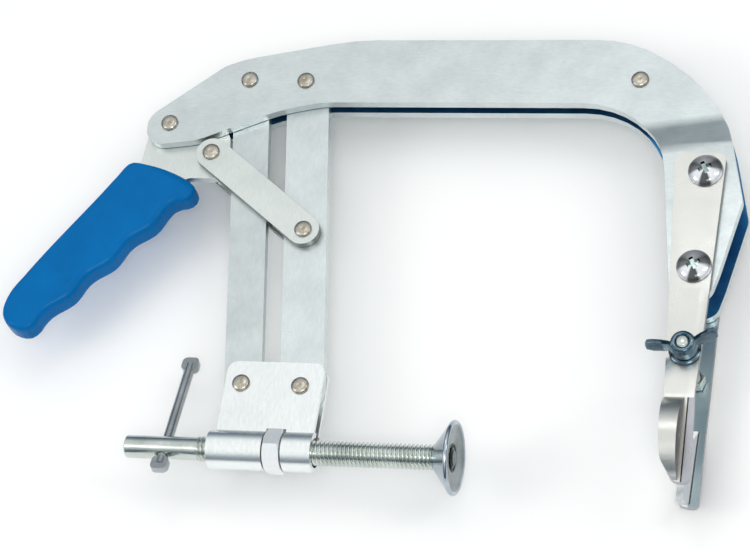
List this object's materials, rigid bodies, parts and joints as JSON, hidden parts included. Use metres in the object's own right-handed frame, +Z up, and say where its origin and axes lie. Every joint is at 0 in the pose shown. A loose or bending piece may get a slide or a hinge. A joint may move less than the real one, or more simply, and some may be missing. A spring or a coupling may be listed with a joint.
{
  "type": "valve spring compressor",
  "caption": "Lever-action C-frame compressor: swinging bars push a screw-mounted pad towards a forked pair of cupped claws, locked by an over-centre hand lever.",
  "frame": {"origin": "middle of the tool's footprint as it lies flat, with the lowest point at z = 0", "axes": "+X along the top bar of the frame from the grip towards the claws, +Y out of the throat towards the top bar, +Z up out of the frame on the wing nut side"},
  "size_m": [0.3586, 0.2394, 0.063],
  "materials": {
    "zinc_plate": "satin bright zinc plating over stamped steel sheet",
    "arm_steel": "satin, faintly warm nickel-like plating",
    "rivet_steel": "plain formed rivet heads, slightly warm grey",
    "bright_chrome": "bright polished plating",
    "screw_zinc": "grey zinc with a greenish passivated cast",
    "grip_blue": "glossy dipped or moulded plastic"
  },
  "bodies": {
    "frame": {"front_frame_plate": "zinc_plate", "rear_frame_plate": "zinc_plate", "frame_spacer": "zinc_plate", "lever_pivot_rivet": "rivet_steel", "left_bar_pivot_rivet": "rivet_steel", "right_bar_pivot_rivet": "rivet_steel", "frame_spacer_rivet": "rivet_steel", "front_arm": "arm_steel", "rear_arm": "arm_steel", "front_arm_screw_upper": "bright_chrome", "rear_arm_screw_upper": "bright_chrome", "front_arm_screw_lower": "bright_chrome", "rear_arm_screw_lower": "bright_chrome", "adjuster_bolt": "zinc_plate", "adjuster_lock_nut": "zinc_plate"},
    "lever": {"lever_plate": "zinc_plate", "grip": "grip_blue"},
    "links": {"front_link": "zinc_plate", "rear_link": "zinc_plate", "lever_link_rivet": "rivet_steel", "link_rivet_front_head": "rivet_steel", "link_rivet_rear_head": "rivet_steel"},
    "left_bar": {"left_bar": "zinc_plate"},
    "right_bar": {"right_bar": "zinc_plate", "link_rivet_core": "rivet_steel"},
    "bracket": {"screw_bracket": "zinc_plate", "captive_nut": "zinc_plate", "bracket_left_rivet": "rivet_steel", "bracket_right_rivet": "rivet_steel"},
    "foot": {"foot_pad": "bright_chrome"},
    "screw": {"screw": "screw_zinc"},
    "tommy_bar": {"tommy_bar": "screw_zinc"},
    "washer": {"wing_nut_washer": "zinc_plate"},
    "wing_nut": {"wing_nut": "zinc_plate"}
  },
  "joints": [
    {"name": "lever_swing", "type": "hinge", "parent": "frame", "child": "lever", "pos_m": [-0.11178, 0.0714, 0.02928], "axis": [0, 0, -1], "range_deg": [0, 100]},
    {"name": "link_turn", "type": "hinge", "parent": "lever", "child": "links", "pos_m": [-0.08748, 0.0555, 0.02928], "axis": [0, 0, 1], "range_deg": [0, 108.7]},
    {"name": "left_bar_swing", "type": "hinge", "parent": "frame", "child": "left_bar", "pos_m": [-0.07428, 0.0966, 0.02928], "axis": [0, 0, -1], "range_deg": [0, 26.6]},
    {"name": "right_bar_swing", "type": "hinge", "parent": "frame", "child": "right_bar", "pos_m": [-0.04503, 0.0961, 0.02928], "axis": [0, 0, -1], "range_deg": [0, 26.6]},
    {"name": "bracket_turn", "type": "hinge", "parent": "right_bar", "child": "bracket", "pos_m": [-0.02103, -0.0702, 0.02928], "axis": [0, 0, 1], "range_deg": [0, 26.6]},
    {"name": "screw_feed", "type": "slide", "parent": "bracket", "child": "foot", "axis": [1, 0, 0], "range_m": [-0.055, 0.004]},
    {"name": "screw_spin", "type": "hinge", "parent": "foot", "child": "screw", "pos_m": [0.00472, -0.1022, 0.02928], "axis": [1, 0, 0], "range_deg": [-9901, 721]},
    {"name": "tommy_bar_slide", "type": "slide", "parent": "screw", "child": "tommy_bar", "axis": [0, -0.9703, 0.2419], "range_m": [0, 0.0412]},
    {"name": "washer_lift", "type": "slide", "parent": "frame", "child": "washer", "axis": [0, 0, 1], "range_m": [0, 0.004]},
    {"name": "wing_nut_spin", "type": "hinge", "parent": "washer", "child": "wing_nut", "pos_m": [0.16192, -0.0533, 0.02928], "axis": [0, 0, 1], "range_deg": [0, 1441]}
  ],
  "couplings": [
    {"joint": "link_turn", "follows": "lever_swing", "ratio": 1.0864},
    {"joint": "left_bar_swing", "follows": "lever_swing", "ratio": 0.26529},
    {"joint": "right_bar_swing", "follows": "lever_swing", "ratio": 0.26529},
    {"joint": "bracket_turn", "follows": "lever_swing", "ratio": 0.26529},
    {"joint": "screw_spin", "follows": "screw_feed", "rad_per_m": 3141.6},
    {"joint": "wing_nut_spin", "follows": "washer_lift", "rad_per_m": 6283.2}
  ]
}
